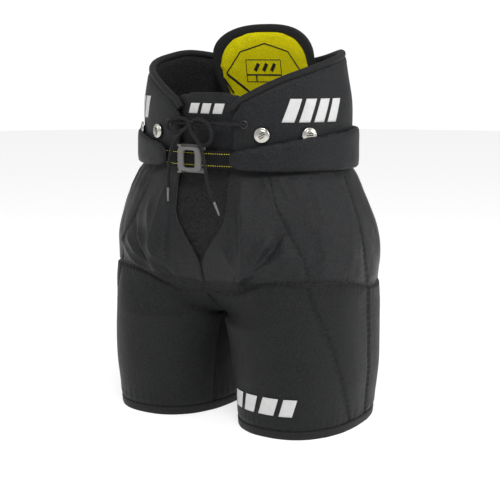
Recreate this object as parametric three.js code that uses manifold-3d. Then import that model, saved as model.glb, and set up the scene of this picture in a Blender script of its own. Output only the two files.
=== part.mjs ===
// Ice hockey pants: padded shorts that stand on their hems, with a laced fly, a cinch belt in padded
// sleeves, two hip wraps that rise above the belt, and a spine guard that hinges on the waistband.
// Millimetres, +Z up, the front faces -Y and the wearer's left is +X.
// The origin is the middle of the footprint, on the floor.
import * as THREE from "three";
import { mergeVertices } from "three/addons/utils/BufferGeometryUtils.js";
import Module from "manifold-3d";

const wasm = await Module();
wasm.setup();

// ---- driving dimensions ----
const gap = 0.35; // between pieces that lie against each other
const layerGap = 1.5; // from the shell in to a pad that is curved on its own
const swingGap = 0.55; // from the swing cylinder to the pieces on each side of it
const shellThickness = 3; // outer fabric with its foam backing
const hemHeight = 11;
const crotchHeight = 140;
const riseHeight = 235; // where the two legs have become one hip
const yokeHeight = 334.6; // top of the hip panels, under the belt
const hipAxisHeight = 290; // the wearer's hip joints, which the legs swing about
const hipSwingRadius = 160; // the legs are cut from the hips on this cylinder
const gussetHalf = 17;
const gussetDrop = 9;
const flyHalf = 40;
const flyBottom = 226;
const flyRecess = 11;
const flyRecessHalf = 46;

const beltHalfWidth = 159; // outside of the belt sleeves, to the sides
const beltHalfDepth = 112; // and to the front and back
const beltThickness = 10;
const beltBottom = 336;
const beltCurveRadius = 226; // of the belt's outside across the front
const wingThickness = 8;
const wingBottom = 335.2;
const wingFrontHalf = 39; // from the middle of the fly to a wrap's front edge
const wingTaper = 10; // how far a wrap leans in at its top
const coreThickness = 8;
const coreBottom = 325;
const coreTop = 398;
const tongueHalf = 60;
const tongueBottom = 350;
const tongueTop = 437;
const pipingRadius = 4;

const strapHeight = 22;
const strapThickness = 2;
const strapDepth = 4; // from the belt's outside in to the strap's outside
const strapCentre = 351;
const strapTail = -12.6; // degrees round the belt's curve, negative to the wearer's right
const strapEnd = 18;
const slotAllowance = 0.7;
const leftSleeveStart = 40;
const rightSleeveStart = 57;

const buckleTurn = -3.6; // degrees round the belt's curve
const buckleWidth = 37;
const buckleHeight = 31;
const buckleThickness = 4;
const windowWidth = 19;
const windowHeight = 22.5;
const pinRadius = 1.6;
const pinClearance = 0.3;
const barrelRadius = 3;
const earThickness = 2.2;

const buttonRadius = 9.8;
const buttonHeight = 383;
const buttonTurns = { front: 31, side: 58, back: 152 };
const eyeletTurn = 21.5;
const eyeletHeight = 396;

const guardBase = 372; // height of the seam it hinges on
const guardCurve = 180; // radius that the guard is bent to, across
const guardLean = 0.18; // how far it leans in for each millimetre of height
const guardBackThickness = 5;
const guardFoamThickness = 11;
const guardBorder = 11;

const laceRadius = 2.1;
const aglet = { radius: 1.5, length: 18 };

// ---- finishes ----
const finish = (color, roughness, metalness = 0) =>
  new THREE.MeshStandardMaterial({ color, roughness, metalness });
const nylon = finish(0x17181a, 0.6);
const mesh = finish(0x101012, 0.9);
const foam = finish(0x2b2b2e, 0.95);
const yellow = finish(0xd6cf10, 0.65);
const webbing = finish(0x131316, 0.7);
const greyPlastic = finish(0x6a6a6c, 0.5);
const whitePlastic = finish(0xd9d9d6, 0.4);
const nickel = finish(0xd6d4cf, 0.25, 1);
const steel = finish(0xa8a8aa, 0.3, 1);
const cotton = finish(0x121214, 0.85);

// ---- helpers ----
const lerp = THREE.MathUtils.lerp;
const rad = THREE.MathUtils.degToRad;
const ease = (t) => THREE.MathUtils.smoothstep(t, 0, 1);

// A smooth profile through [height, value] points.
const profile = (...points) => {
  const line = new THREE.SplineCurve(points.map(([z, value]) => new THREE.Vector2(z, value)));
  const last = points.length - 1;
  return (z) => {
    if (z <= points[0][0]) return points[0][1];
    if (z >= points[last][0]) return points[last][1];
    let low = 0;
    let high = 1;
    for (let i = 0; i < 24; i++) {
      const middle = (low + high) / 2;
      if (line.getPoint(middle).x < z) low = middle;
      else high = middle;
    }
    return line.getPoint((low + high) / 2).y;
  };
};

// The sine or cosine of a turn, squared off by an exponent above 2.
const squared = (value, power) => Math.sign(value) * Math.abs(value) ** (2 / power);

// Moves every vertex of a geometry to place(x, y, z).
const bend = (geometry, place) => {
  const at = geometry.getAttribute("position");
  for (let i = 0; i < at.count; i++) {
    const p = place(at.getX(i), at.getY(i), at.getZ(i));
    at.setXYZ(i, p.x, p.y, p.z);
  }
  return geometry;
};

// A slab bent over a surface: place(across, up, out), each from 0 to 1, with out at 1 on the outside.
const slab = (across, up, place) =>
  bend(new THREE.BoxGeometry(1, 1, 1, across, up, 1).translate(0.5, 0.5, 0.5), place);

// A closed ring: place(turn, up, out), with turn running once round from 0 to 1.
const ring = (around, up, place) => {
  const side = (radius, from, to) =>
    Array.from({ length: up + 1 }, (_, i) => new THREE.Vector2(radius, lerp(from, to, i / up)));
  const section = [...side(2, 0, 1), ...side(1, 1, 0), new THREE.Vector2(2, 0)];
  return bend(new THREE.LatheGeometry(section, around), (x, y, z) => {
    const turn = Math.atan2(x, z) / (2 * Math.PI);
    return place(Math.abs(turn) < 1e-6 ? 0 : (turn + 1) % 1, y, Math.hypot(x, z) - 1);
  });
};

// A round tube along a smooth line through points, with a step for every few radii.
const tube = (points, radius, sides = 8) => {
  const section = new THREE.Shape(
    Array.from({ length: sides }, (_, i) => {
      const turn = (2 * Math.PI * i) / sides;
      return new THREE.Vector2(radius * Math.cos(turn), radius * Math.sin(turn));
    }),
  );
  const extrudePath = new THREE.CatmullRomCurve3(points.map((p) => new THREE.Vector3(...p)));
  const steps = Math.ceil(extrudePath.getLength() / (4.5 * radius));
  return new THREE.ExtrudeGeometry(section, { steps, extrudePath, bevelEnabled: false });
};

const solidOf = (geometry) => {
  const bare = geometry.clone();
  bare.deleteAttribute("normal");
  bare.deleteAttribute("uv");
  const merged = mergeVertices(bare, 1e-3);
  return new wasm.Manifold(
    new wasm.Mesh({
      numProp: 3,
      vertProperties: merged.attributes.position.array,
      triVerts: new Uint32Array(merged.index.array),
    }),
  );
};

const geometryOf = (solid) => {
  const { vertProperties, triVerts } = solid.getMesh();
  return new THREE.BufferGeometry()
    .setAttribute("position", new THREE.BufferAttribute(vertProperties, 3))
    .setIndex(new THREE.BufferAttribute(triVerts, 1));
};

const cut = (geometry, ...tools) =>
  geometryOf(tools.reduce((left, tool) => left.subtract(solidOf(tool)), solidOf(geometry)));
const join = (...geometries) =>
  geometryOf(geometries.map(solidOf).reduce((whole, piece) => whole.add(piece)));

const pants = new THREE.Group();
const add = (name, geometry, material) => {
  const piece = new THREE.Mesh(geometry, material);
  piece.name = name;
  pants.add(piece);
  return piece;
};
// The wearer's left piece, and its mirror image on the right.
const addPair = (name, geometry, material, rightGeometry = geometry) => {
  add(`left_${name}`, geometry, material);
  add(`right_${name}`, rightGeometry, material).scale.x = -1;
};

// ---- the body of the garment ----
const legInner = profile([0, 18], [60, 15], [110, 8], [crotchHeight, 0]);
const legOuter = profile([0, 176], [70, 180.5], [165, 181], [riseHeight, 183]);
const legDepth = profile([0, 107], [80, 111], [165, 114], [riseHeight, 117]);
const hipWidth = profile([crotchHeight, 182], [riseHeight, 184], [287, 170.5], [yokeHeight, 152]);
const hipDepth = profile([crotchHeight, 117], [riseHeight, 121], [287, 116], [yokeHeight, 102.5]);
const legPower = 2.3;
const hipPower = profile([riseHeight, 2.5], [yokeHeight, 2.2]);

// The left half of the outer surface, drawn in by depth. turn goes once round the leg: 0 at the inner
// seam, 0.25 at the front, 0.5 at the outer side and 0.75 at the back. Above the crotch the loop opens
// at the middle plane, and turn runs from the middle of the front to the middle of the back.
const bodyPoint = (turn, z, depth) => {
  const inner = legInner(z) + depth;
  const outer = legOuter(z) - depth;
  const a = 2 * Math.PI * turn;
  const leg = new THREE.Vector3(
    (inner + outer) / 2 - ((outer - inner) / 2) * squared(Math.cos(a), legPower),
    -(legDepth(z) - depth) * squared(Math.sin(a), legPower),
    z,
  );
  const rise = THREE.MathUtils.clamp((z - crotchHeight) / (riseHeight - crotchHeight), 0, 1);
  if (rise === 0) return leg;
  const power = hipPower(z);
  const hip = new THREE.Vector3(
    (hipWidth(z) - depth) * squared(Math.sin(a / 2), power),
    -(hipDepth(z) - depth) * squared(Math.cos(a / 2), power),
    z,
  );
  const atMiddle = ((Math.cos(a) + 1) / 2) ** 2;
  const share = lerp(ease(rise), Math.sqrt(1 - (1 - rise) ** 2), atMiddle);
  const point = leg.lerp(hip, share);
  if (point.y < 0) point.y += recess(point.x, z);
  return point;
};
// The fly sits back between the two thighs.
const recess = (x, z) =>
  flyRecess * Math.exp(-((x / flyRecessHalf) ** 2)) * ease((z - 160) / 70) * ease((yokeHeight + 30 - z) / 90);

// The turn at which the surface is x from the middle plane, on the front or the back.
const turnAt = (x, z, depth, back = false) => {
  let low = 0;
  let high = 0.25;
  for (let i = 0; i < 20; i++) {
    const middle = (low + high) / 2;
    if (bodyPoint(back ? 1 - middle : middle, z, depth).x < x) low = middle;
    else high = middle;
  }
  return back ? 1 - low : low;
};

// The height at which the surface meets the swing cylinder, outside it with side 1 and inside with -1.
const swingHeight = (turn, depth, side) => {
  let z = crotchHeight;
  for (let i = 0; i < 12; i++) {
    const { y } = bodyPoint(typeof turn === "function" ? turn(z) : turn, z, depth);
    z = hipAxisHeight - Math.sqrt((hipSwingRadius + side * swingGap) ** 2 - y * y);
  }
  return z;
};

// The sewn lines that part the panels, as turns.
const frontSeam = profile([0, 0.447], [80, 0.41], [170, 0.35], [218, 0.262], [290, 0.188], [yokeHeight, 0.165]);
const sideSeam = () => 0.523;
const innerFrontSeam = () => 0.06;
const innerBackSeam = () => 0.925;
const seamGap = 0.0009; // half the gap between panels, as a turn
const gussetFrom = 15; // degrees round under the crotch, from the front
const gussetTo = 172;
const gussetHeight = (degrees, depth) => riseHeight - (riseHeight - crotchHeight - depth) * Math.sin(rad(degrees));
// The gusset narrows to its ends, and the panels beside it follow.
const gussetWidth = (z, back) => {
  const end = gussetHeight(back ? gussetTo : gussetFrom, 0);
  return gussetHalf * THREE.MathUtils.clamp((end - z) / (back ? 60 : 30), back ? 0.06 : 0.6, 1);
};
const frontEdge = (z) => turnAt(lerp(gussetWidth(z, false) + 1.5, flyHalf, ease((z - 214) / 22)), z, 0);
const backEdge = (z) => turnAt(Math.max(gap, gussetWidth(z, true) + (z < 232 ? 1 : -1)), z, 0, true);

// A panel of one leg between two seams, from the hem up to the swing cylinder.
const legPanel = (from, to, across, up, inside = shellThickness, outside = 0, low = hemHeight + gap, short = 0) =>
  slab(across, up, (u, v, w) => {
    const depth = lerp(inside, outside, w);
    const turn = (z) => lerp(from(z) + seamGap, to(z) - seamGap, u);
    const z = lerp(low, swingHeight((h) => turn(h) % 1, depth, 1) - short, v);
    return bodyPoint(turn(z) % 1, z, depth);
  });

// A panel of one side of the hips between two seams, from the swing cylinder up to the yoke.
const hipPanel = (from, to, across, up) =>
  slab(across, up, (u, v, w) => {
    const depth = lerp(shellThickness, 0, w);
    const turn = (z) => lerp(from(z) + seamGap, to(z) - seamGap, u);
    const z = lerp(swingHeight(turn, depth, -1), yokeHeight, v);
    return bodyPoint(turn(z), z, depth);
  });

const innerBackToFront = () => 1 + innerFrontSeam();
addPair("leg_front_panel", legPanel(innerFrontSeam, frontSeam, 10, 5), nylon);
addPair("leg_side_panel", legPanel(frontSeam, sideSeam, 4, 5), nylon);
addPair("leg_back_panel", legPanel(sideSeam, innerBackSeam, 11, 5), nylon);
addPair("leg_inner_panel", legPanel(innerBackSeam, innerBackToFront, 4, 5), nylon);
addPair(
  "hem_binding",
  ring(36, 1, (turn, up, out) => bodyPoint(turn, up * hemHeight, lerp(shellThickness + 1.5, -0.6, out))),
  nylon,
);
addPair("hip_front_panel", hipPanel(frontEdge, frontSeam, 7, 9), nylon);
addPair("hip_side_panel", hipPanel(frontSeam, sideSeam, 8, 9), nylon);
addPair("hip_back_panel", hipPanel(sideSeam, backEdge, 9, 9), nylon);

// The gusset runs between the legs, from the foot of the fly to the seat.
const gusset = slab(4, 16, (u, v, w) => {
  const degrees = lerp(gussetFrom, gussetTo, v);
  const turn = rad(degrees);
  const depth = lerp(shellThickness, 0, w);
  const halfWidth = gussetWidth(gussetHeight(degrees, 0), degrees > 90);
  const x = lerp(-halfWidth, halfWidth, u);
  const drop = gussetDrop * (x / gussetHalf) ** 2 * Math.sin(turn) ** 3;
  const z = gussetHeight(degrees, depth) - drop;
  const front = Math.cos(turn) > 0 ? recess(x, z) : 0;
  return new THREE.Vector3(x, -(hipDepth(z) - depth) * Math.cos(turn) + front, z);
});
// v runs down the front, so the slab is turned inside out by its path and is put right here.
add("crotch_gusset", bend(gusset, (x, y, z) => new THREE.Vector3(-x, y, z)), nylon);

// The fly panel closes the opening behind the laces.
const flyOverlap = 6;
const flyDepth = shellThickness + layerGap;
const onFront = (x, z, depth) => {
  const point = bodyPoint(turnAt(Math.abs(x), z, depth), z, depth);
  return new THREE.Vector3(x, point.y, z);
};
add(
  "fly_panel",
  slab(8, 6, (u, v, w) =>
    onFront(
      lerp(-flyHalf - flyOverlap, flyHalf + flyOverlap, u),
      lerp(flyBottom - 18, coreBottom - gap, v),
      lerp(flyDepth + 2.5, flyDepth, w),
    ),
  ),
  mesh,
);

// ---- pads inside the shell ----
const capThickness = 2.5;
const thighFoamThickness = 9;
const capDepth = shellThickness + layerGap;
const foamDepth = capDepth + capThickness + 2 * gap;
const linerDepth = foamDepth + thighFoamThickness + layerGap;
const linerThickness = 1.5;
const padLow = hemHeight + 6;
addPair(
  "thigh_cap",
  legPanel(() => 0.14, () => 0.37, 6, 4, capDepth + capThickness, capDepth, padLow, 4),
  whitePlastic,
);
addPair(
  "thigh_foam",
  legPanel(() => 0.13, () => 0.38, 6, 4, foamDepth + thighFoamThickness, foamDepth, padLow, 4),
  foam,
);
addPair(
  "leg_liner",
  ring(32, 2, (turn, up, out) => {
    const depth = lerp(linerDepth + linerThickness, linerDepth, out);
    return bodyPoint(turn, lerp(hemHeight, swingHeight(turn, depth, 1) - 3, up), depth);
  }),
  mesh,
);
const hipPad = (from, to, low, high, across, up) =>
  slab(across, up, (u, v, w) =>
    bodyPoint(lerp(from, to, u), lerp(low, high, v), lerp(capDepth + thighFoamThickness, capDepth, w)),
  );
addPair("hip_pad", hipPad(0.36, 0.64, 175, 318, 6, 5), foam);
const tailbonePad = slab(8, 5, (u, v, w) => {
  const x = lerp(-52, 52, u);
  const z = lerp(212, 318, v);
  const depth = lerp(capDepth + thighFoamThickness, capDepth, w);
  const point = bodyPoint(turnAt(Math.abs(x), z, depth, true), z, depth);
  return new THREE.Vector3(-x, point.y, z);
});
add("tailbone_pad", tailbonePad, foam);

// ---- the waist: core, tongue, wraps and belt sleeves, from the inside out ----
const waistPower = 2.1;
const waistPoint = (turn, z, depth) =>
  new THREE.Vector3(
    (beltHalfWidth - depth) * squared(Math.sin(turn), waistPower),
    -(beltHalfDepth - depth) * squared(Math.cos(turn), waistPower),
    z,
  );
const waistNormal = (turn) =>
  new THREE.Vector3(Math.sin(turn) / beltHalfWidth, -Math.cos(turn) / beltHalfDepth, 0).normalize();
// The turn at which a waist layer is x to the left of the middle, on the front or the back.
const waistTurn = (x, depth, back = false) => {
  const turn = Math.asin(THREE.MathUtils.clamp(x / (beltHalfWidth - depth), -1, 1) ** (waistPower / 2));
  return back ? Math.PI - turn : turn;
};
const wingDepth = beltThickness + gap;
const coreDepth = wingDepth + wingThickness + gap;

const coreFront = waistTurn(tongueHalf + coreThickness / 2 + gap, coreDepth);
add(
  "waist_core",
  slab(40, 1, (u, v, w) =>
    waistPoint(
      lerp(coreFront, 2 * Math.PI - coreFront, u),
      lerp(coreBottom, coreTop, v),
      lerp(coreDepth + coreThickness, coreDepth, w),
    ),
  ),
  mesh,
);
// The wraps and the tongue lean in above the belt.
const wingPoint = (turn, z, depth) => waistPoint(turn, z, depth + wingTaper * ease((z - 415) / 75));
add(
  "tongue",
  slab(10, 4, (u, v, w) => {
    const x = lerp(-tongueHalf, tongueHalf, u);
    const top = tongueTop - 14 * Math.abs(x / tongueHalf) ** 4;
    const depth = lerp(coreDepth + coreThickness - 1, coreDepth + gap, w);
    const point = wingPoint(waistTurn(Math.abs(x), depth), lerp(tongueBottom, top, v), depth);
    return new THREE.Vector3(x, point.y, point.z);
  }),
  nylon,
);

// The wraps rise from a low front corner to a crest over the hip.
const wingTop = profile([13, 404], [17, 424], [24, 436], [42, 455], [67, 471], [95, 483], [120, 489], [156, 478]);
const wingFront = waistTurn(wingFrontHalf, wingDepth);
const wingBack = rad(154);
const wingEdge = (turn) => wingTop(THREE.MathUtils.radToDeg(turn)) - 2 * pipingRadius - gap;
addPair(
  "hip_wrap",
  slab(20, 5, (u, v, w) => {
    const turn = lerp(wingFront, wingBack, u ** 1.15);
    return wingPoint(turn, lerp(wingBottom, wingEdge(turn), v), lerp(wingDepth + wingThickness, wingDepth, w));
  }),
  nylon,
);
const pipingPath = Array.from({ length: 17 }, (_, i) => {
  const turn = lerp(wingFront + 0.02, wingBack, (i / 16) ** 1.15);
  const slope = (wingEdge(turn + 0.02) - wingEdge(turn - 0.02)) / (0.04 * beltHalfDepth);
  const z = wingEdge(turn) + (pipingRadius + 2 * gap) * Math.hypot(1, slope);
  return wingPoint(turn, z, wingDepth + wingThickness / 2).toArray();
});
addPair("wrap_piping", tube(pipingPath, pipingRadius), nylon);

// Points round the belt's curve across the front: turn in degrees, out from the curve's centre.
const beltCurveCentre = beltCurveRadius - beltHalfDepth;
const onBeltCurve = (turn, out, z) =>
  new THREE.Vector3(out * Math.sin(rad(turn)), beltCurveCentre - out * Math.cos(rad(turn)), z);
const strapOut = beltCurveRadius - strapDepth;
const strapSection = (from, to, across, out, thickness, height) =>
  slab(across, 1, (u, v, w) =>
    onBeltCurve(lerp(from, to, u), out - thickness * (1 - w), strapCentre + height * (v - 0.5)),
  );
const anchorThickness = 1.8;
const anchorOut = strapOut - strapThickness - 0.7;
const slotOut = strapOut + slotAllowance;
const slot = (to, innerOut) =>
  strapSection(5, to, 10, slotOut, slotOut - innerOut, strapHeight + 2 * slotAllowance);

const beltTop = profile([10, 362], [20, 367], [45, 379], [80, 388], [120, 392], [180, 392]);
const sleeve = (start) => {
  const front = waistTurn(start, 0);
  return slab(24, 3, (u, v, w) => {
    const turn = lerp(front, Math.PI - 0.003, u ** 1.1);
    const high = beltTop(THREE.MathUtils.radToDeg(turn));
    const low = beltBottom + 2.5 * (1 - ease((turn - front) / 0.5));
    return waistPoint(turn, lerp(low, high, v), lerp(beltThickness, 0, w));
  });
};

// ---- buttons for braces ----
// A shank button: a domed cap on a short post, with its axis along +Z.
const postHeight = 2;
const capHeight = 3.2;
const buttonSection = [
  [0, 0],
  [3.6, 0],
  [3.6, postHeight],
  [buttonRadius - 0.8, postHeight],
  [buttonRadius, postHeight + 0.9],
  [buttonRadius - 1.2, postHeight + capHeight - 0.6],
  [buttonRadius * 0.55, postHeight + capHeight],
  [0, postHeight + capHeight],
].map(([radius, height]) => new THREE.Vector2(radius, height));
const button = new THREE.LatheGeometry(buttonSection, 14).rotateX(Math.PI / 2);
const buttonPocket = new THREE.CylinderGeometry(
  buttonRadius + 0.6,
  buttonRadius + 0.6,
  postHeight + capHeight + 2,
  24,
);
buttonPocket.rotateX(Math.PI / 2).translate(0, 0, (postHeight + capHeight) / 2);

// Where a piece seats on a wrap's outside: its place, and the turn that points +Z outwards.
const seat = (degrees, z) => {
  const turn = rad(degrees);
  const out = waistNormal(turn);
  const place = wingPoint(turn, z, wingDepth).addScaledVector(out, gap);
  return { place, facing: new THREE.Quaternion().setFromUnitVectors(new THREE.Vector3(0, 0, 1), out) };
};
const seated = (geometry, { place, facing }) =>
  geometry.clone().applyQuaternion(facing).translate(place.x, place.y, place.z);

const pockets = Object.values(buttonTurns).map((turn) => seated(buttonPocket, seat(turn, buttonHeight)));
addPair(
  "belt_sleeve",
  cut(sleeve(leftSleeveStart), slot(strapEnd + 6, strapOut - strapThickness - slotAllowance), ...pockets),
  nylon,
  cut(sleeve(rightSleeveStart), slot(25, anchorOut - anchorThickness - gap), ...pockets),
);
for (const [where, turn] of Object.entries(buttonTurns)) {
  addPair(`${where}_button`, seated(button, seat(turn, buttonHeight)), nickel);
}

// ---- strap and cam buckle ----
add("adjusting_strap", strapSection(strapTail, strapEnd, 16, strapOut, strapThickness, strapHeight), webbing);

// The buckle is drawn flat, with x along the strap, y up it and z outwards, and then set on the curve.
const onBuckle = (geometry) =>
  geometry
    .rotateX(Math.PI / 2)
    .translate(0, -strapOut, 0)
    .rotateZ(rad(buckleTurn))
    .translate(0, beltCurveCentre, strapCentre);
const box = (x0, x1, y0, y1, z0, z1) =>
  new THREE.BoxGeometry(x1 - x0, y1 - y0, z1 - z0).translate((x0 + x1) / 2, (y0 + y1) / 2, (z0 + z1) / 2);
const rod = (radius, height, sides, x, z) =>
  new THREE.CylinderGeometry(radius, radius, height, sides).translate(x, 0, z);

const pivotX = -buckleWidth / 2 + barrelRadius;
const pivotZ = barrelRadius + 1.1;
const leverBack = pivotZ - 1.6;
const half = { x: buckleWidth / 2, y: buckleHeight / 2 };
const baseBack = -strapThickness - 3.2;
const baseFront = -strapThickness - 1.3;
const earFoot = half.y + gap;
const ear = (side) =>
  box(
    pivotX - barrelRadius,
    pivotX + barrelRadius,
    side > 0 ? earFoot : -earFoot - earThickness,
    side > 0 ? earFoot + earThickness : -earFoot,
    baseBack,
    pivotZ + barrelRadius - 0.6,
  );
const basePlate = box(
  pivotX - barrelRadius,
  half.x,
  -earFoot - earThickness,
  earFoot + earThickness,
  baseBack,
  baseFront,
);
const pinHole = rod(pinRadius + pinClearance, buckleHeight + 20, 16, pivotX, pivotZ);
add(
  "buckle_base",
  onBuckle(cut(join(basePlate, ear(1), ear(-1)), pinHole)),
  greyPlastic,
);
add(
  "buckle_pin",
  onBuckle(rod(pinRadius, buckleHeight + 2 * (gap + earThickness), 16, pivotX, pivotZ)),
  steel,
);

const frameOutline = new THREE.Shape();
const corner = 2.5;
frameOutline.moveTo(-half.x, -half.y);
frameOutline.lineTo(half.x - corner, -half.y);
frameOutline.absarc(half.x - corner, -half.y + corner, corner, -Math.PI / 2, 0);
frameOutline.lineTo(half.x, half.y - corner);
frameOutline.absarc(half.x - corner, half.y - corner, corner, 0, Math.PI / 2);
frameOutline.lineTo(-half.x, half.y);
frameOutline.closePath();
const windowOutline = new THREE.Path();
const windowShift = -0.5;
windowOutline.moveTo(-windowWidth / 2 + windowShift, -windowHeight / 2);
windowOutline.lineTo(-windowWidth / 2 + windowShift, windowHeight / 2);
windowOutline.lineTo(windowWidth / 2 + windowShift, windowHeight / 2);
windowOutline.lineTo(windowWidth / 2 + windowShift, -windowHeight / 2);
windowOutline.closePath();
frameOutline.holes.push(windowOutline);
const frame = new THREE.ExtrudeGeometry(frameOutline, {
  depth: buckleThickness,
  bevelEnabled: false,
  curveSegments: 4,
}).translate(0, 0, leverBack);
// A rounded rib under the lever's free end pinches the strap.
const rib = rod(1.5, buckleHeight - 6, 12, half.x - 4, leverBack + 0.3);
const barrel = rod(barrelRadius, buckleHeight, 20, pivotX, pivotZ);
const behindPivot = box(-half.x - 1, pivotX, -half.y - 1, half.y + 1, 0, 12);
add(
  "buckle_lever",
  onBuckle(cut(join(cut(frame, behindPivot), rib, barrel), pinHole)),
  greyPlastic,
);

// The fixed strap ties the buckle's base to the right sleeve.
const anchorTo = buckleTurn - THREE.MathUtils.radToDeg((half.x + gap) / strapOut);
add(
  "anchor_strap",
  strapSection(-24, anchorTo - 0.1, 8, anchorOut, anchorThickness, strapHeight),
  webbing,
);

// ---- eyelets and lace ----
const eyeletSection = [
  [2.6, 0],
  [5.6, 0],
  [5.2, 1.2],
  [4, 1.7],
  [2.9, 1.2],
  [2.6, 0],
].map(([radius, height]) => new THREE.Vector2(radius, height));
const eyelet = new THREE.LatheGeometry(eyeletSection, 14).rotateX(Math.PI / 2);
addPair("eyelet", seated(eyelet, seat(eyeletTurn, eyeletHeight)), nickel);

// Each stretch of the lace that shows is its own solid: two strands, two loops and two hanging ends.
const knot = { x: -17, y: -104.5, z: 396 };
const knotRadius = 5.4;
add(
  "lace_knot",
  new THREE.SphereGeometry(knotRadius, 12, 8).scale(1.15, 0.85, 1).translate(knot.x, knot.y, knot.z),
  cotton,
);
const laces = {
  lace_left_strand: [
    [50.5, -99.6, 396], [38, -102.4, 396], [22, -103.8, 396], [5, -104.4, 396], [-10.3, -104.6, 396],
  ],
  lace_right_strand: [
    [-50.5, -99.6, 397], [-44, -101.4, 397], [-35, -103, 396.4], [-23.7, -104, 395],
  ],
  lace_left_loop: [
    [-10.5, -106, 399.5], [-2, -107.5, 401.5], [9, -109, 398], [17, -110, 389], [18, -110.6, 378],
    [11, -111, 369.8], [1, -111, 370.5], [-4.8, -109, 378], [-8, -106.4, 385], [-11, -104.8, 390],
  ],
  lace_right_loop: [
    [-22.6, -106.4, 400], [-33, -107.4, 402.4], [-43, -107.6, 401], [-51, -107, 395.6],
    [-52.5, -106.8, 389], [-46, -107, 384.8], [-36, -106.6, 384.6], [-28, -105.4, 387.5],
    [-22.4, -103.8, 390.4],
  ],
  lace_left_end: [
    [-15, -108.9, 392], [-9.4, -112.8, 384.5], [-1, -115.4, 376], [7, -118, 366], [12, -118.6, 352],
    [14.5, -118.2, 336], [17, -117.6, 321], [22, -117.2, 308], [26.2, -117, 299],
  ],
  lace_right_end: [
    [-19.4, -108.9, 392], [-26, -112, 385], [-34, -113.4, 376], [-40, -114.4, 364], [-44, -114, 350],
    [-46.4, -113.8, 336], [-47.2, -113.8, 324], [-47.4, -113.8, 313],
  ],
};
for (const [name, points] of Object.entries(laces)) add(name, tube(points, laceRadius), cotton);

// An aglet sheaths each hanging end, in line with the lace's last stretch.
const addAglet = (name, points) => {
  const [before, end] = points.slice(-2).map((p) => new THREE.Vector3(...p));
  const along = end.clone().sub(before).normalize();
  const start = end.addScaledVector(along, gap);
  const tip = start.clone().addScaledVector(along, aglet.length);
  add(name, tube([start.toArray(), tip.toArray()], aglet.radius, 10), whitePlastic);
};
addAglet("left_aglet", laces.lace_left_end);
addAglet("right_aglet", laces.lace_right_end);

// ---- spine guard ----
// The guard hinges on a seam inside the waist core.
const guardHinge = { y: beltHalfDepth - coreDepth - coreThickness - gap, z: guardBase };
// Half the guard's width at a height, for the backing; the foam on its front is smaller all round.
const guardTop = 523;
const guardHalf = (z, border) => {
  const top = guardTop - border;
  const crown = Math.sqrt(Math.max(0, 1 - ((z - (top - 42)) / 42) ** 2));
  const side = profile([guardHinge.z, 56], [430, 72], [462, 80.5], [481, 79])(z);
  return z > top - 42 ? (profile([462, 80.5], [481, 79])(481) - border) * crown ** 0.8 : side - border;
};
const guardPoint = (x, z, depth) =>
  new THREE.Vector3(x, guardHinge.y - guardLean * (z - guardHinge.z) - depth - x ** 2 / (2 * guardCurve), z);
// The slab's rows follow the crown, closing to a short top edge.
const guardSlab = (low, border, backDepth, frontDepth, across, up) =>
  slab(across, up, (u, v, w) => {
    const top = guardTop - border - 0.6;
    const z = lerp(low, top, 1 - (1 - v) ** 1.6);
    const halfWidth = guardHalf(z, border);
    return guardPoint(lerp(-halfWidth, halfWidth, u), z, lerp(backDepth, frontDepth, w));
  });
const guardLow = guardHinge.z + 3;
add("spine_guard_backing", guardSlab(guardLow, 0, 0, guardBackThickness, 10, 10), nylon);
const foamBack = guardBackThickness + gap;
add(
  "spine_guard_foam",
  guardSlab(guardLow + 9, guardBorder, foamBack, foamBack + guardFoamThickness, 10, 10),
  yellow,
);
const bindingRadius = 3;
const bindingDepth = guardBackThickness / 2;
const bindingPath = [];
const bindingRows = 12;
for (let i = -bindingRows; i <= bindingRows; i++) {
  const v = 1 - Math.abs(i) / bindingRows;
  const z = lerp(guardLow + 8, guardTop, 1 - (1 - v) ** 1.6);
  const crown = i === 0 ? 0 : Math.sign(i) * (guardHalf(Math.min(z, guardTop - 0.5), 0) + 0.5);
  const grown = bindingRadius + gap + 0.4;
  const outward = new THREE.Vector2(crown / 80, Math.max(0, (z - 470) / 53)).normalize();
  bindingPath.push(guardPoint(crown + grown * outward.x, z + grown * outward.y, bindingDepth).toArray());
}
add("spine_guard_binding", tube(bindingPath, bindingRadius), nylon);

export default pants;
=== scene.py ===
"""Ice hockey pants that stand on their hems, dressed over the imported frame. Lengths are in millimetres
until a point is made, and +Z is up, -Y the laced front and +X the wearer's left."""

import math

import bmesh
import bpy
from mathutils import Matrix, Vector, noise
from mathutils.bvhtree import BVHTree


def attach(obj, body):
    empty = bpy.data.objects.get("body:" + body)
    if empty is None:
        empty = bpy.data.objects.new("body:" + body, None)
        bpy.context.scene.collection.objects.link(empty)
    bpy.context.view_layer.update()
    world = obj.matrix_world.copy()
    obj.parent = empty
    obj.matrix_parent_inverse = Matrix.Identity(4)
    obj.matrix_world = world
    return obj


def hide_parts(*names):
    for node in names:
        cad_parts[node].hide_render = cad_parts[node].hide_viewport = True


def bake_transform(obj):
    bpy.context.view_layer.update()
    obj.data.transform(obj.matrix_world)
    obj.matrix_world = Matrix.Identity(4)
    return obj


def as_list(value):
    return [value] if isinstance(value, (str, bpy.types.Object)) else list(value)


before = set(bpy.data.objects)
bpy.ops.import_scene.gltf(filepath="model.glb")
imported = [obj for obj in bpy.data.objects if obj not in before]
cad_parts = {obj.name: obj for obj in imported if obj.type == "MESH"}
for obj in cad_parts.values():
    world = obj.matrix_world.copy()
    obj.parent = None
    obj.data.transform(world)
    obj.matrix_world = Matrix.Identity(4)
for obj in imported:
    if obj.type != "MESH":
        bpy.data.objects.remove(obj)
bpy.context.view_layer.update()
MM = 0.001

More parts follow.
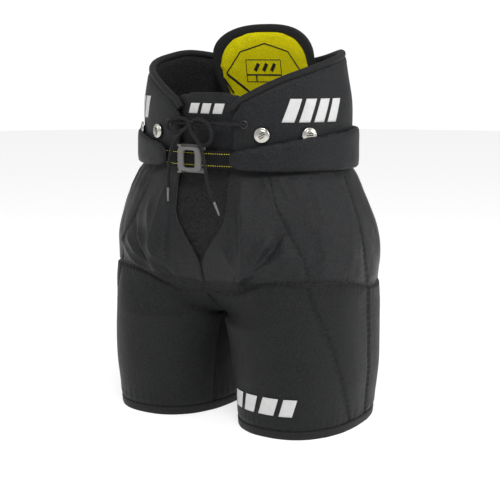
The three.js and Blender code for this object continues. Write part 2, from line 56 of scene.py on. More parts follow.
# Camera: a long lens a metre and a half away, a little above the belt, that looks slightly down at
# the wearer's front left.
view_turn = math.radians(32)
camera = bpy.data.objects.new("camera", bpy.data.cameras.new("camera"))
camera.data.lens = 80
camera.location = (
    1.5 * math.sin(view_turn) + 0.0054 * math.cos(view_turn),
    -1.5 * math.cos(view_turn) + 0.0054 * math.sin(view_turn),
    0.48,
)
camera.rotation_euler = (math.radians(80.1), 0, view_turn)
bpy.context.scene.collection.objects.link(camera)
bpy.context.scene.camera = camera


# Lace: one round braided cord of black polyester, tied in a bow in front of the tongue. Each stretch
# of it is a cord of its own, between an eyelet, the knot and a clear wound aglet.
class Value:
    """A shader value that Python's operators work on."""

    def __init__(self, tree, out):
        self.tree, self.out = tree, out

    def node(self, kind, inputs, output=0, **settings):
        made = self.tree.nodes.new(kind)
        for name, setting in settings.items():
            setattr(made, name, setting)
        for name, value in inputs.items():
            if isinstance(value, Value):
                self.tree.links.new(value.out, made.inputs[name])
            else:
                made.inputs[name].default_value = value
        return Value(self.tree, made.outputs[output])

    def math(self, operation, *values):
        return self.node("ShaderNodeMath", dict(enumerate(values)), operation=operation)

    def __add__(self, other):
        return self.math("ADD", self, other)

    def __sub__(self, other):
        return self.math("SUBTRACT", self, other)

    def __rsub__(self, other):
        return self.math("SUBTRACT", other, self)

    def __mul__(self, other):
        return self.math("MULTIPLY", self, other)

    __radd__, __rmul__ = __add__, __mul__


def start_material(name, color, roughness, **constants):
    """A material whose shader has its constant values, and the object coordinates to build on."""
    made = bpy.data.materials.new(name)
    made.use_nodes = True
    tree = made.node_tree
    shader = tree.nodes["Principled BSDF"]
    shader.inputs["Base Color"].default_value = (*color, 1)
    shader.inputs["Roughness"].default_value = roughness
    for socket, value in constants.items():
        shader.inputs[socket.replace("_", " ")].default_value = value
    coordinates = tree.nodes.new("ShaderNodeTexCoord")
    return made, shader, Value(tree, coordinates.outputs["Object"])


def feed(shader, socket, value):
    value.tree.links.new(value.out, shader.inputs[socket])


def noise_at(place, scale, detail=2):
    return place.node("ShaderNodeTexNoise", {"Vector": place, "Scale": scale, "Detail": detail})


def wave_at(place, scale, direction, distortion=0):
    return place.node(
        "ShaderNodeTexWave",
        {"Vector": place, "Scale": scale, "Distortion": distortion},
        output=1,
        bands_direction=direction,
    )


def blend_color(share, low, high):
    """A mix of two colours. A Mix node set to colour has its share on socket 0 and the two on 6 and 7."""
    ends = {0: share, 6: (*low, 1), 7: (*high, 1)}
    return share.node("ShaderNodeMix", ends, output=2, data_type="RGBA")


def bumped(shader, height, distance, strength=1.0):
    bump = height.node("ShaderNodeBump", {"Height": height, "Distance": distance, "Strength": strength})
    feed(shader, "Normal", bump)


def fabric(name, dark, light, roughness, weave, weave_depth, crease=0.0003, sheen=0.04, gloss=0.22):
    """Woven cloth: crossed ribs, a little uneven in colour and gloss, with small creases."""
    made, shader, place = start_material(
        name, dark, roughness, Sheen_Weight=sheen, Sheen_Roughness=0.45, Specular_IOR_Level=gloss
    )
    blotch = noise_at(place, 45, 4)
    grain = noise_at(place, 620, 1)
    feed(shader, "Base Color", blend_color(blotch * 0.7 + (grain - 0.5) * 3.2 + 0.15, dark, light))
    feed(shader, "Roughness", blotch * 0.22 + (roughness - 0.11))
    ribs = wave_at(place, weave, "DIAGONAL") + wave_at(place, weave, "Z") * 0.7
    bumped(shader, ribs * weave_depth + grain * 0.55 + noise_at(place, 90, 3) * (crease / MM), MM)
    return made


cord_black = fabric(
    "lace_black", (0.010, 0.010, 0.011), (0.020, 0.020, 0.022), 0.75, 170, 0.35, gloss=0.15
)
aglet_clear, shader, place = start_material(
    "aglet_clear", (0.13, 0.13, 0.125), 0.2, Coat_Weight=0.8, IOR=1.45
)
feed(shader, "Roughness", noise_at(place, 300) * 0.3 + 0.1)
bumped(shader, wave_at(place, 300, "Z"), 0.0001)

lace_width = 4.6
knot = Vector((-17, -104.5, 396))


def run_cord(name, points, width, material):
    """A smooth open cord through points."""
    line = bpy.data.curves.new(name, "CURVE")
    line.dimensions = "3D"
    line.resolution_u = 10
    line.bevel_depth = width / 2 * MM
    line.bevel_resolution = 4
    line.use_fill_caps = True
    spline = line.splines.new("BEZIER")
    spline.bezier_points.add(len(points) - 1)
    for point, place in zip(spline.bezier_points, points):
        point.co = Vector(place) * MM
        point.handle_left_type = point.handle_right_type = "AUTO"
    line.materials.append(material)
    made = bpy.data.objects.new(name, line)
    bpy.context.scene.collection.objects.link(made)
    return made


def dress(piece, body, slot, *nodes):
    """Puts a finished piece on its body, in place of its CAD nodes."""
    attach(piece, body)
    if nodes:
        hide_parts(*nodes)
    return piece


def finish_mesh(name, bm, material, weld=0.02):
    """A mesh object in metres from a bmesh in millimetres, smooth, with its faces outwards."""
    bmesh.ops.remove_doubles(bm, verts=bm.verts, dist=weld)
    bmesh.ops.dissolve_degenerate(bm, edges=bm.edges, dist=weld / 2)
    bmesh.ops.scale(bm, vec=(MM, MM, MM), verts=bm.verts)
    bmesh.ops.recalc_face_normals(bm, faces=bm.faces)
    mesh = bpy.data.meshes.new(name)
    bm.to_mesh(mesh)
    bm.free()
    mesh.materials.append(material)
    mesh.polygons.foreach_set("use_smooth", [True] * len(mesh.polygons))
    made = bpy.data.objects.new(name, mesh)
    bpy.context.scene.collection.objects.link(made)
    return made


def aglet(name, before, end, length=18):
    """The hard clear sheath that is wound round a lace's tip, in line with its last stretch."""
    bm = bmesh.new()
    bmesh.ops.create_cone(
        bm, cap_ends=True, segments=20, radius1=1.7, radius2=1.2, depth=length,
        matrix=Matrix.Translation((0, 0, length / 2)),
    )
    bmesh.ops.bevel(
        bm, geom=[e for e in bm.edges if len({round(v.co.z, 3) for v in e.verts}) == 1],
        offset=0.4, segments=2, affect="EDGES", profile=0.5, material=-1,
    )
    along = (Vector(end) - Vector(before)).normalized()
    facing = Vector((0, 0, 1)).rotation_difference(along).to_matrix().to_4x4()
    bmesh.ops.transform(bm, matrix=Matrix.Translation(Vector(end)) @ facing, verts=bm.verts)
    return finish_mesh(name, bm, aglet_clear)


laces = {
    "lace_left_strand": [
        (60, -94, 396), (56, -98.6, 396), (50.5, -100.4, 396), (38, -102.4, 396),
        (22, -103.8, 396), (5, -104.4, 396), (-13, -104.6, 396),
    ],
    "lace_right_strand": [
        (-60, -93, 397), (-56, -98.6, 397), (-50.5, -100.4, 397), (-44, -101.4, 397),
        (-35, -103, 396.4), (-21, -104, 395),
    ],
    "lace_left_loop": [
        (-14, -106, 398), (-10.5, -106.6, 400), (-2, -108, 401.5), (9, -109, 398), (17, -110, 389),
        (18, -110.6, 378), (11, -111, 369.8), (1, -111, 370.5), (-4.8, -109, 378), (-8, -107, 385),
        (-13, -105.6, 392),
    ],
    "lace_right_loop": [
        (-20, -106, 398), (-23.6, -106.6, 400.4), (-33, -107.4, 402.4), (-43, -107.6, 401),
        (-51, -107, 395.6), (-52.5, -106.8, 389), (-46, -107, 384.8), (-36, -107, 384.6),
        (-28, -106, 387.5), (-20, -105, 393),
    ],
    "lace_left_end": [
        (-16, -107.6, 394), (-15, -109.4, 391), (-9.4, -112.8, 384.5), (-1, -115.4, 376),
        (7, -118, 366), (12, -118.6, 352), (14.5, -118.2, 336), (17, -117.6, 321), (22, -117.2, 308),
        (26.2, -117, 299),
    ],
    "lace_right_end": [
        (-18, -107.6, 394), (-19.4, -109.4, 391), (-26, -112, 385), (-34, -113.4, 376),
        (-40, -114.4, 364), (-44, -114, 350), (-46.4, -113.8, 336), (-47.2, -113.8, 324),
        (-47.4, -113.8, 313),
    ],
}
knot_mesh = bmesh.new()
for turn, tilt in ((0, 0.5), (1, -0.6), (2, 0.1)):
    bmesh.ops.create_uvsphere(
        knot_mesh, u_segments=24, v_segments=14, radius=1,
        matrix=Matrix.Translation(knot + Vector((0.7 * turn - 0.7, -0.5, 1.2 * turn - 1.2)))
        @ Matrix.Rotation(tilt, 4, "Y")
        @ Matrix.Diagonal((6.4, 4.4, 2.9, 1)),
    )
knot_piece = finish_mesh("lace_knot_wraps", knot_mesh, cord_black)
dress(knot_piece, "hips", "lace_cotton", "lace_knot")
for name, points in laces.items():
    piece = run_cord(f"{name}_cord", points, lace_width, cord_black)
    dress(piece, "hips", "lace_cotton", name)
    carried, far_end = [], "object"
    if name.endswith("_end"):
        tip = aglet(name.replace("lace", "aglet").replace("_end", "_tip"), points[-2], points[-1])
        which = "left_aglet" if name == "lace_left_end" else "right_aglet"
        carried, far_end = [dress(tip, "hips", "aglet_plastic", which)], "fitting"
    if name == "lace_left_strand":
        carried, far_end = [knot_piece], "knot"
    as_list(carried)


# Shell: panels of black nylon over foam, sewn together along a seam round the thigh, one that runs
# slantwise down the front and one down the side. The thigh panels are plainer and stand fuller.
def ease(t):
    t = min(1, max(0, t))
    return t * t * (3 - 2 * t)


def mix(a, b, t):
    return a + (b - a) * t


def profile(*points):
    """A smooth curve through (place, value) points, by cubic steps with averaged slopes."""
    slopes = []
    for i, (x, y) in enumerate(points):
        before, after = points[max(i - 1, 0)], points[min(i + 1, len(points) - 1)]
        slopes.append((after[1] - before[1]) / (after[0] - before[0]))

    def value(x):
        x = min(points[-1][0], max(points[0][0], x))
        i = max(k for k in range(len(points) - 1) if points[k][0] <= x)
        (x0, y0), (x1, y1) = points[i], points[i + 1]
        t, h = (x - x0) / (x1 - x0), x1 - x0
        return (
            (2 * t**3 - 3 * t**2 + 1) * y0 + (t**3 - 2 * t**2 + t) * h * slopes[i]
            + (3 * t**2 - 2 * t**3) * y1 + (t**3 - t**2) * h * slopes[i + 1]
        )

    return value


def squared(value, power):
    return math.copysign(abs(value) ** (2 / power), value)


crotch, rise_top, yoke = 140, 235, 334.6
leg_inner = profile((0, 18), (60, 15), (110, 8), (crotch, 0))
leg_outer = profile((0, 176), (70, 180.5), (165, 181), (rise_top, 183))
leg_depth = profile((0, 107), (80, 111), (165, 114), (rise_top, 117))
hip_width = profile((crotch, 182), (rise_top, 184), (287, 170.5), (yoke, 152), (350, 148))
hip_depth = profile((crotch, 117), (rise_top, 121), (287, 116), (yoke, 102.5), (350, 99))
hip_power = profile((rise_top, 2.5), (yoke, 2.2))


def front_dip(x, z):
    """How far the loose cloth in front of the crotch sinks in."""
    return 11 * math.exp(-((x / 46) ** 2)) * ease((z - 160) / 70) * ease((365 - z) / 90)


def body_point(turn, z, depth=0.0):
    """The left half of the shell. turn is 0 at the inner seam, 0.25 in front and 0.5 at the side."""
    inner, outer = leg_inner(z) + depth, leg_outer(z) - depth
    a = 2 * math.pi * turn
    leg = Vector((
        (inner + outer) / 2 - (outer - inner) / 2 * squared(math.cos(a), 2.3),
        -(leg_depth(z) - depth) * squared(math.sin(a), 2.3),
        z,
    ))
    rise = min(1, max(0, (z - crotch) / (rise_top - crotch)))
    if rise == 0:
        return leg
    hip = Vector((
        (hip_width(z) - depth) * squared(math.sin(a / 2), hip_power(z)),
        -(hip_depth(z) - depth) * squared(math.cos(a / 2), hip_power(z)),
        z,
    ))
    at_middle = ((math.cos(a) + 1) / 2) ** 2
    point = leg.lerp(hip, mix(ease(rise), math.sqrt(1 - (1 - rise) ** 2), at_middle))
    if point.y < 0:
        point.y += front_dip(point.x, z)
    return point


front_seam = profile(
    (0, 0.477), (61, 0.44), (153, 0.38), (195, 0.305), (237, 0.245), (295, 0.196), (345, 0.18)
)
side_seam = profile((0, 0.52), (170, 0.505), (250, 0.485), (345, 0.48))
thigh_seam = profile(
    (0, 176), (0.09, 183), (0.16, 197), (0.3, 201), (0.42, 199), (0.55, 185), (0.8, 192), (1, 176)
)
girth = 560  # of one leg, to turn a share of a turn into millimetres

# Folds, as (turn, z) from and to, then height and half width. Negative heights are hollows.
shared_folds = [
    ((0.10, 306), (0.095, 214), 5.5, 9), ((0.075, 300), (0.07, 232), -4, 8),
    ((0.095, 208), (0.16, 254), 6, 6), ((0.09, 204), (0.21, 240), 5.5, 7),
    ((0.12, 218), (0.20, 262), -4, 6), ((0.14, 206), (0.27, 236), 3, 7), ((0.17, 330), (0.20, 296), 2, 6),
    ((0.21, 334), (0.235, 306), 1.8, 5), ((0.26, 334), (0.27, 304), 1.8, 6),
    ((0.31, 334), (0.33, 300), 1.6, 7), ((0.66, 232), (0.80, 205), 3.5, 12),
    ((0.70, 262), (0.86, 236), 3, 12), ((0.9, 300), (0.86, 220), 3, 12),
]
side_folds = {
    1: [((0.05, 236), (0.10, 196), 3.5, 8), ((0.33, 262), (0.44, 236), 2, 12)],
    -1: [((0.19, 216), (0.03, 181), 6, 8), ((0.14, 288), (0.10, 236), 4, 8),
         ((0.10, 236), (0.045, 196), 4, 8), ((0.17, 232), (0.05, 196), -3, 7)],
}


def fold_height(turn, z, folds):
    total = 0
    here = Vector((turn * girth, z))
    for start, end, height, width in folds:
        a, b = Vector((start[0] * girth, start[1])), Vector((end[0] * girth, end[1]))
        along = b - a
        t = (here - a).dot(along) / along.length_squared
        if -0.3 < t < 1.3:
            away = (here - a - along * t).length
            taper = ease((t + 0.3) / 0.5) * ease((1.3 - t) / 0.5)
            total += height * taper * math.exp(-((away / width) ** 1.4))
    return total


def shell_relief(turn, z, side):
    """How far the padded shell stands out from the plain form."""
    to_front = abs(turn - front_seam(z)) * girth
    to_side = abs(turn - side_seam(z)) * girth
    rim = thigh_seam(turn)
    to_thigh = abs(z - rim)
    to_inner = min(abs(turn - 0.06), abs(turn - 0.935)) * girth if z < crotch else 99
    nearest = min(to_front, to_side, to_thigh, to_inner)
    puff = 2.6 * (1 - math.exp(-nearest / 16))
    groove = -1.6 * math.exp(-((nearest / 1.7) ** 2))
    fuller = 2.2 * ease((rim + 2 - z) / 6) * ease((z - 20) / 60)
    loose = ease((z - rim) / 14)
    stretched = Vector((turn * girth * 0.022, z * 0.012, 3.1 * side))
    crumpled = Vector((turn * girth * 0.06, z * 0.035, 7.7 * side))
    ripple = 2.3 * noise.noise(stretched) * (0.35 + 0.65 * loose)
    ripple += 1.1 * noise.noise(crumpled) * (0.2 + 0.8 * loose)
    folds = fold_height(turn, z, shared_folds + side_folds[side]) * (0.25 + 0.75 * ease((z - rim + 12) / 14))
    pucker = 0.45 * math.sin(z * 0.75 + 3 * side) * math.exp(-min(to_front, to_side) / 6)
    pucker += 0.5 * math.sin(turn * girth * 0.7 + 2 * math.sin(turn * 40)) * math.exp(-to_thigh / 8)
    pucker += 0.6 * math.sin(turn * girth * 0.62 + 2 * math.sin(turn * 31)) * math.exp(-(z - 10) / 12)
    fade = ease((yoke + 4 - z) / 14) * ease((z - 8) / 10)
    return (puff + fuller + ripple + folds + pucker) * fade + groove


def grid(across, up, place):
    """A bmesh sheet: place(u, v) puts each point of a unit grid, in millimetres."""
    bm = bmesh.new()
    bmesh.ops.create_grid(bm, x_segments=across, y_segments=up, size=0.5)
    for v in bm.verts:
        v.co = place(v.co.x + 0.5, v.co.y + 0.5)
    return bm


def shell_outward(turn, z):
    """Outward unit normal of the plain form's left half, taken a little inside its edges."""
    turn, z = min(0.985, max(0.015, turn)), min(330, max(8, z))
    along = body_point(turn + 0.004, z) - body_point(turn - 0.004, z)
    up = body_point(turn, z + 2) - body_point(turn, z - 2)
    return along.cross(up).normalized()


def thicken(piece, thickness, offset=-1):
    """Gives a sheet its thickness, in millimetres: inwards, or outwards with an offset of 1."""
    wall = piece.modifiers.new("wall", "SOLIDIFY")
    wall.thickness, wall.offset = thickness * MM, offset


def bend_at_groin(piece):
    """Bakes a piece's transform into its mesh. Nothing here lets it move or bend with the hips or a leg."""
    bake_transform(piece)


hip_nylon = fabric(
    "hip_nylon", (0.002, 0.0023, 0.0028), (0.0125, 0.0132, 0.0148), 0.42, 300, 0.12, 0.0009, 0.02, 0.27
)
thigh_nylon = fabric(
    "thigh_nylon", (0.0025, 0.0028, 0.003), (0.0125, 0.0132, 0.0142), 0.52, 260, 0.2, 0.0004, 0.02, 0.21
)
lining_mesh = fabric(
    "lining_mesh", (0.007, 0.007, 0.0072), (0.025, 0.025, 0.026), 0.85, 150, 0.45, 0.0006, 0.03, 0.14
)

fly_half, fly_foot = 38, 208


def fly_edge(z):
    """Half the width of the opening that the fly panel fills, at a height."""
    return fly_half * ease((z - fly_foot) / 80)


def turn_where(x, z):
    """The turn at which the front of the plain form is x from the middle, by halving."""
    low, high = 0, 0.25
    for _ in range(16):
        middle = (low + high) / 2
        low, high = (middle, high) if body_point(middle, z).x < x else (low, middle)
    return low


for side, word in ((1, "left"), (-1, "right")):

    def shell_point(u, v):
        z = mix(5, 346, v)
        turn = mix(turn_where(fly_edge(z), z) if z > fly_foot else 0, 1, u)
        point = body_point(turn, z)
        out = shell_outward(turn, z)
        out.x *= ease(point.x / 12) if z > crotch else 1
        point += out * (shell_relief(turn, z, side) - 1.2)
        point.x = max(point.x, 0) * side
        return point

    shell = finish_mesh(f"{word}_shell", grid(240, 176, shell_point), hip_nylon)
    shell.data.materials.append(thigh_nylon)
    for face in shell.data.polygons:
        x, y, z = face.center / MM
        turn = 0.5 - math.atan2(-y, abs(x) - 97) / (2 * math.pi) if z < 240 else 0.3
        if z < thigh_seam(turn % 1):
            face.material_index = 1
    thicken(shell, 2.2)
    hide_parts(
        *(f"{word}_{part}_panel" for part in
          ("leg_front", "leg_side", "leg_back", "leg_inner", "hip_front", "hip_side", "hip_back")),
        f"{word}_thigh_cap", f"{word}_thigh_foam", f"{word}_hip_pad",
    )
    bend_at_groin(shell)

    # Lining: black knitted mesh that covers the pads on the wearer's side, from the hem to the waist.
    # It is quilted in upright channels, and sewn in at both of its ends.
    def lining_point(u, v):
        z = mix(6, 330, v)
        quilt = 1.2 * abs(math.sin(math.pi * u * 16))
        depth = mix(6, 17, ease((z - 6) / 40)) - quilt + 0.5 * math.sin(z / 9)
        point = body_point(u, z, depth)
        point.x = max(point.x, 0) * side if z > crotch else point.x * side
        return point

    lining = finish_mesh(f"{word}_lining", grid(130, 60, lining_point), lining_mesh)
    thicken(lining, 1.2)
    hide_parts(f"{word}_leg_liner")
    bend_at_groin(lining)


# Hem binding: a strip of black woven tape, folded round the hem of each leg over the raw edges of the
# shell and the lining. One line of stitching along its top holds it.
tape_black = fabric("tape_black", (0.008, 0.008, 0.009), (0.014, 0.014, 0.015), 0.6, 220, 0.3, 0.0003)


def pillow(name, material, along, around, place, end_power=14, edge_power=5, closed=False):
    """A closed padded strip. place(u, up, out) has u from 0 to 1, and up and out from -1 to 1."""

    def point(u, v):
        side, t = (1, v * 4 - 1) if v < 0.5 else (-1, 3 - v * 4)
        up = math.copysign(1 - (1 - abs(t)) ** 1.7, t)
        out = side * (1 - abs(up) ** edge_power) ** (1 / edge_power) if abs(up) < 1 else 0
        cap = 1 if closed else (1 - abs(2 * u - 1) ** end_power) ** (1 / end_power)
        return place(u, up, out * cap)

    return finish_mesh(name, grid(along, around, point), material)


hem_height, hem_wall = 11.5, 5.2
for side, word in ((1, "left"), (-1, "right")):

    def hem_point(u, up, out):
        z = hem_height * (up + 1) / 2
        crush = 0.5 * noise.noise(Vector((u * 30, 0, side)))
        point = body_point(u, z, 1.8 - out * hem_wall / 2 + crush)
        point.x *= side
        return point

    hem = pillow(f"{word}_hem", tape_black, 220, 24, hem_point, closed=True)
    dress(hem, f"{word}_leg", "binding", f"{word}_hem_binding")


# Stitching: twisted black thread in a row on each side of the thigh seam, in one row beside the front
# and side seams, and round the hems. A stitch is a short round-ended dash, sunk a little in the cloth.
thread_black, shader, place = start_material(
    "thread_black", (0.016, 0.016, 0.017), 0.5, Specular_IOR_Level=0.3
)
feed(shader, "Roughness", noise_at(place, 400) * 0.3 + 0.35)
bumped(shader, wave_at(place, 500, "Z"), 0.00008)


def stitches(name, material, path, pitch=4.2, length=3.0, width=0.75):
    """A dash for every pitch along path, a list of points and the outward directions there."""
    bm = bmesh.new()
    travelled, due = 0, pitch / 2
    for (a, out), (b, _) in zip(path, path[1:]):
        step = (b - a).length
        while travelled + step > due:
            middle = a.lerp(b, (due - travelled) / step)
            along = (b - a).normalized()
            across = out.cross(along).normalized()
            facing = Matrix((along, across, along.cross(across))).transposed().to_4x4()
            bmesh.ops.create_icosphere(
                bm, subdivisions=1, radius=0.5,
                matrix=Matrix.Translation(middle) @ facing @ Matrix.Diagonal((length, width, width, 1)),
            )
            due += pitch
        travelled += step
    return finish_mesh(name, bm, material, weld=0.0005)


def on_side(vector, side):
    """A point or direction of the left half, moved to the side that is meant."""
    return Vector((vector.x * side, vector.y, vector.z))


def shell_line(side, places):
    """Points on the shell's outside with their outward directions, for (turn, z) places."""
    line = []
    for turn, z in places:
        out = shell_outward(turn, z)
        point = body_point(turn, z) + out * (shell_relief(turn, z, side) - 1.0)
        line.append((on_side(point, side), on_side(out, side)))
    return line


for side, word in ((1, "left"), (-1, "right")):
    seams = {
        "front": [(front_seam(z) - 0.006, z) for z in range(14, 332, 3)],
        "side": [(side_seam(z) + 0.006, z) for z in range(14, 332, 3)],
        "thigh": [(t / 150, thigh_seam(t / 150) - 3.4) for t in range(5, 146)],
        "thigh_upper": [(t / 150, thigh_seam(t / 150) + 3.4) for t in range(5, 146)],
    }
    for seam, places in seams.items():
        row = stitches(f"{word}_{seam}_stitches", thread_black, shell_line(side, places))
        bend_at_groin(row)
    round_hem = []
    for i in range(181):
        point = body_point(i / 180, hem_height - 2.2, -0.9)
        round_hem.append((on_side(point, side), on_side(shell_outward(i / 180, 9), side)))
    dress(stitches(f"{word}_hem_stitches", thread_black, round_hem), f"{word}_leg", "binding")


# Gusset and fly: a strip of stretch mesh sewn in between the legs, from the front of the hips to the
# back, and a plain matte panel of the same mesh that closes the opening behind the laces.
gusset_half = 16


def gusset_point(u, up, out):
    angle = math.radians(mix(8, 172, u))
    x = up * gusset_half * (1 - 0.5 * ease((u - 0.6) / 0.4))
    sag = 7 * (x / gusset_half) ** 2 * math.sin(angle) ** 3
    z = rise_top - (rise_top - crotch + 1) * math.sin(angle) - sag
    pull = 1.2 * math.sin(u * 60 + x / 5) * math.sin(math.pi * u)
    y = -(hip_depth(z) - 1.5 + out * 1.6 + pull) * math.cos(angle)
    if y < 0:
        y += front_dip(x, z)
    return Vector((x, y, z - out * 1.6 * math.sin(angle)))


dress(
    pillow("crotch_gusset_strip", lining_mesh, 120, 32, gusset_point),
    "hips", "nylon_shell", "crotch_gusset",
)


def fly_point(u, v):
    x, z = mix(-46, 46, u), mix(206, 342, v)
    point = body_point(turn_where(abs(x), z), z, 4.2)
    wrinkle = 1.6 * noise.noise(Vector((x * 0.03, z * 0.06, 5)))
    wrinkle += 1.2 * math.sin(z / 7 + x / 22) * ease((260 - z) / 60)
    return Vector((x, point.y - wrinkle, z))


fly = finish_mesh("fly_panel_cloth", grid(60, 80, fly_point), lining_mesh)
thicken(fly, 1.8, 0)
dress(fly, "hips", "mesh_lining", "fly_panel", "tailbone_pad")

# Waist: a core of foam in quilted mesh goes round inside. Outside it are the tongue behind the laces
# and the two hip wraps, each a foam pad in smooth nylon with mesh on its inner face. The wraps have a
# rolled rim of tape and a row of stitching under it.
belt_wide, belt_deep, belt_wall = 159, 112, 10
wing_depth = belt_wall + 0.35
pad_half = 3.6  # half the thickness of the tongue and of a wrap


def waist_point(turn, z, depth):
    return Vector((
        (belt_wide - depth) * squared(math.sin(turn), 2.1),
        -(belt_deep - depth) * squared(math.cos(turn), 2.1),
        z,
    ))


def lean(z):
    """How far the wraps and the tongue lean in towards the wearer, above the belt."""
    return 10 * ease((z - 415) / 75)


def wing_point(turn, z, depth):
    return waist_point(turn, z, depth + lean(z))


def belt_outward(point):
    """The level direction that points away from the wearer, on the belt or a wrap."""
    return Vector((point.x / belt_wide**2, point.y / belt_deep**2, 0)).normalized()


def waist_turn(x, depth=0):
    return math.asin(min(1, x / (belt_wide - depth)) ** 1.05)


def baked(piece):
    """A mesh of a piece as its modifiers leave it."""
    return bpy.data.meshes.new_from_object(piece.evaluated_get(bpy.context.evaluated_depsgraph_get()))


def swell(piece, most, voxel=3.6, pressure=4, steps=20):
    """Blows a sewn pad up a little as cloth, no point moving over most millimetres, and smooths it."""
    remesh = piece.modifiers.new("remesh", "REMESH")
    remesh.mode, remesh.voxel_size = "VOXEL", voxel * MM
    piece.data = baked(piece)
    piece.modifiers.clear()
    bm = bmesh.new()
    bm.from_mesh(piece.data)
    for _ in range(3):
        bmesh.ops.smooth_vert(
            bm, verts=bm.verts, factor=0.5, use_axis_x=True, use_axis_y=True, use_axis_z=True
        )
    bm.to_mesh(piece.data)
    bm.free()
    was = [v.co.copy() for v in piece.data.vertices]
    cloth = piece.modifiers.new("cloth", "CLOTH")
    cloth.settings.quality = 5
    cloth.settings.use_pressure = True
    cloth.settings.uniform_pressure_force = pressure
    cloth.settings.effector_weights.gravity = 0
    cloth.point_cache.frame_start, cloth.point_cache.frame_end = 1, steps
    for step in range(1, steps + 1):
        bpy.context.scene.frame_set(step)
    blown = baked(piece)
    piece.modifiers.clear()
    bpy.context.scene.frame_set(1)
    for v, start in zip(blown.vertices, was):
        moved = v.co - start
        if moved.length > most * MM:
            v.co = start + moved.normalized() * most * MM
    blown.polygons.foreach_set("use_smooth", [True] * len(blown.polygons))
    piece.data = blown
    smooth = piece.modifiers.new("smooth", "SUBSURF")
    smooth.levels = smooth.render_levels = 1
    return piece


def seat_on(piece, line):
    """Moves a line of stitching onto the surface that a pad came out with."""
    tree = BVHTree.FromObject(piece, bpy.context.evaluated_depsgraph_get())
    return [(tree.find_nearest(point * MM)[0] / MM + out * 0.12, out) for point, out in line]


smooth_nylon = fabric(
    "belt_nylon", (0.003, 0.0034, 0.004), (0.0145, 0.0153, 0.017), 0.5, 320, 0.1, 0.0005, 0.02, 0.22
)


def core_point(u, up, out):
    turn = mix(0.5, 2 * math.pi - 0.5, u)
    quilt = 1.4 * abs(math.sin(turn * 22)) if out < 0 else 0
    return waist_point(turn, mix(326, 397, (up + 1) / 2), 22.7 - out * 4 - quilt)


dress(pillow("waist_lining", lining_mesh, 420, 28, core_point), "hips", "mesh_lining", "waist_core")


tongue_foot, tongue_top, tongue_depth = 351, 437, 22.6


def tongue_sag(x, up):
    return 1.2 * noise.noise(Vector((x * 0.04, up * 1.4, 9)))


def tongue_point(u, up, out):
    x = mix(-58, 58, u)
    top = tongue_top - 14 * abs(x / 60) ** 4
    depth = tongue_depth - out * pad_half + tongue_sag(x, up)
    point = wing_point(waist_turn(abs(x), 22), mix(tongue_foot, top, (up + 1) / 2), depth)
    return Vector((x, point.y, point.z))


tongue = swell(pillow("tongue_pad", smooth_nylon, 90, 60, tongue_point), 1)
dress(tongue, "hips", "nylon_shell", "tongue")

belt_foot = 336
wing_top = profile(
    (13, 404), (17, 424), (24, 436), (42, 455), (67, 471), (95, 483), (120, 489), (156, 478)
)
wing_start, wing_end = waist_turn(39, wing_depth), math.radians(154)


def wing_wave(turn, z, side):
    return 1.2 * noise.noise(Vector((turn * 3, z * 0.02, 20 + side)))


for side, word in ((1, "left"), (-1, "right")):

    def wing_place(u, up, out):
        turn = mix(wing_start, wing_end, u**1.1)
        top = wing_top(math.degrees(turn)) - 4.5
        z = mix(belt_foot, top, (up + 1) / 2)
        quilt = 1.3 * abs(math.sin(turn * 20)) * ease((1 - up) * 4) if out < 0 else 0
        wave = wing_wave(turn, z, side) if out > 0 else 0
        point = wing_point(turn, z, wing_depth + 4 - out * pad_half + quilt - wave)
        point.x *= side
        return point

    wing = pillow(f"{word}_hip_wrap_pad", smooth_nylon, 190, 110, wing_place, end_power=30, edge_power=9)
    swell(wing, 1.2)
    wing.data.materials.append(lining_mesh)
    for face in wing.data.polygons:
        x, y, z = face.center / MM
        depth = lean(z) + wing_depth + 4
        inside = (abs(x) / (belt_wide - depth)) ** 2.1 + (abs(y) / (belt_deep - depth)) ** 2.1 < 0.985
        face.material_index = int(inside)
    dress(wing, "hips", "nylon_shell", f"{word}_hip_wrap")

    rim = []
    for i in range(40):
        turn = mix(wing_start + 0.01, wing_end, i / 39)
        rise = wing_top(math.degrees(turn + 0.02)) - wing_top(math.degrees(turn - 0.02))
        slope = rise / (0.04 * belt_deep)
        z = wing_top(math.degrees(turn)) - 8 + 3 * math.hypot(1, slope)
        point = wing_point(turn, z, wing_depth + 4)
        rim.append((point.x * side, point.y, point.z))
    dress(run_cord(f"{word}_wrap_rim", rim, 9.4, tape_black), "hips", "binding", f"{word}_wrap_piping")
    line = []
    for i in range(150):
        turn = mix(wing_start + 0.09, wing_end - 0.02, i / 149)
        point = wing_point(turn, wing_top(math.degrees(turn)) - 15, wing_depth)
        point.x *= side
        line.append((point, belt_outward(point)))
    row = stitches(f"{word}_wrap_stitches", thread_black, seat_on(wing, line))
    dress(row, "hips", "nylon_shell")

